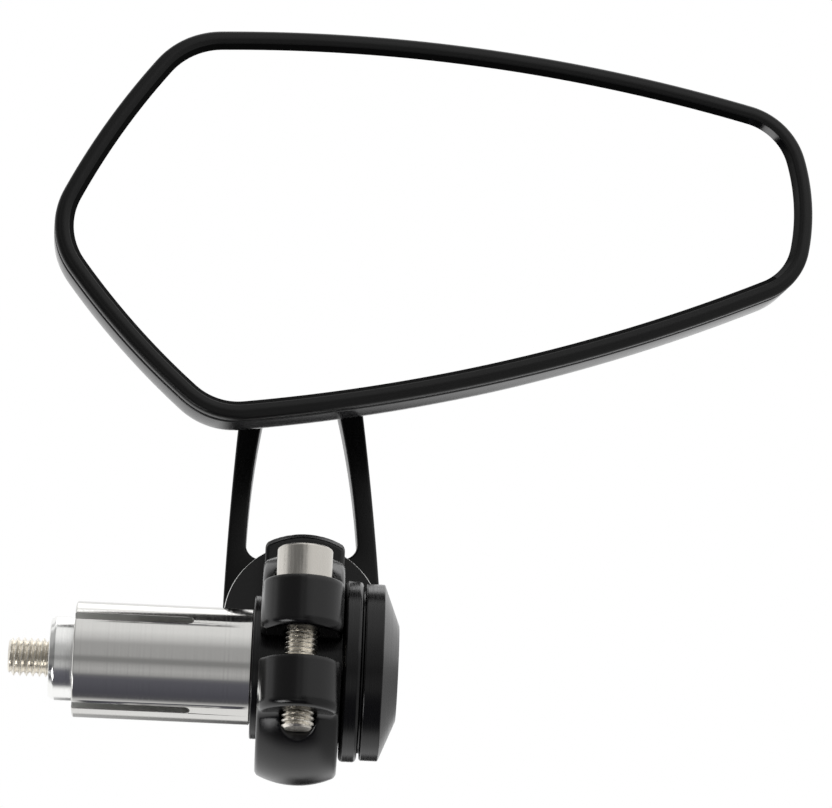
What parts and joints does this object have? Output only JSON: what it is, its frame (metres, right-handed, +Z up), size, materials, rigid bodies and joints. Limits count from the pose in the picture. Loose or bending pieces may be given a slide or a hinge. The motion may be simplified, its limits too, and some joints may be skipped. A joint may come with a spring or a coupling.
{
  "type": "motorcycle bar end mirror",
  "caption": "Handlebar end mirror: slotted expanding insert, split clamp on a turned hub, forked arm and an angular mirror head on a ball joint.",
  "frame": {"origin": "on the handlebar axis, where the bar's end meets the hub's shoulder", "axes": "+X outboard along the bar, +Y away from the rider, +Z up; the mirror faces the rider, along -Y"},
  "size_m": [0.1241, 0.0512, 0.1209],
  "materials": {
    "polished_aluminium": "turned and polished",
    "black_anodised": "satin black anodised",
    "black_arm": "satin black anodised, milled from plate",
    "stainless_steel": "cold-headed, bright",
    "zinc_steel": "bright zinc plated",
    "black_rim": "smooth satin",
    "black_shell": "fine satin texture",
    "mirror_silver": "silvered glass",
    "foam_pad": "closed-cell foam",
    "acetal_white": "smooth moulded",
    "acetal_black": "smooth moulded"
  },
  "bodies": {
    "insert": {"collet": "polished_aluminium", "expander_cone": "polished_aluminium", "expander_bolt": "stainless_steel", "bolt_washer": "stainless_steel", "hub_spool": "black_anodised", "end_cap": "black_anodised"},
    "clamp": {"clamp_ring": "black_anodised", "clamp_screw": "stainless_steel", "friction_disc": "black_anodised", "pivot_screw": "stainless_steel", "pivot_washer": "stainless_steel"},
    "arm": {"arm_fork": "black_arm"},
    "stud": {"ball_stud": "zinc_steel", "stud_washer": "zinc_steel", "stud_nut": "zinc_steel"},
    "liner": {"ball_liner": "acetal_white"},
    "head": {"housing": "black_shell", "bezel": "black_rim", "mirror_glass": "mirror_silver", "glass_pad": "foam_pad", "socket_cup": "acetal_black", "socket_retainer": "acetal_black", "retainer_screws": "stainless_steel"}
  },
  "joints": [
    {"name": "clamp_swivel", "type": "hinge", "parent": "insert", "child": "clamp", "pos_m": [0, 0, 0], "axis": [1, 0, 0], "continuous": true},
    {"name": "arm_pivot", "type": "hinge", "parent": "clamp", "child": "arm", "pos_m": [0.00738, 0.0166, 0.0115], "axis": [0, 1, 0], "range_deg": [-45, 45]},
    {"name": "mirror_roll", "type": "hinge", "parent": "arm", "child": "stud", "pos_m": [0.00479, 0.005, 0.06644], "axis": [0, 1, 0], "range_deg": [-20, 20]},
    {"name": "mirror_tilt", "type": "hinge", "parent": "stud", "child": "liner", "pos_m": [0.00479, 0.005, 0.06644], "axis": [1, 0, 0], "range_deg": [-15, 12]},
    {"name": "mirror_pan", "type": "hinge", "parent": "liner", "child": "head", "pos_m": [0.00479, 0.005, 0.06644], "axis": [0, 0, 1], "range_deg": [-20, 8]}
  ]
}
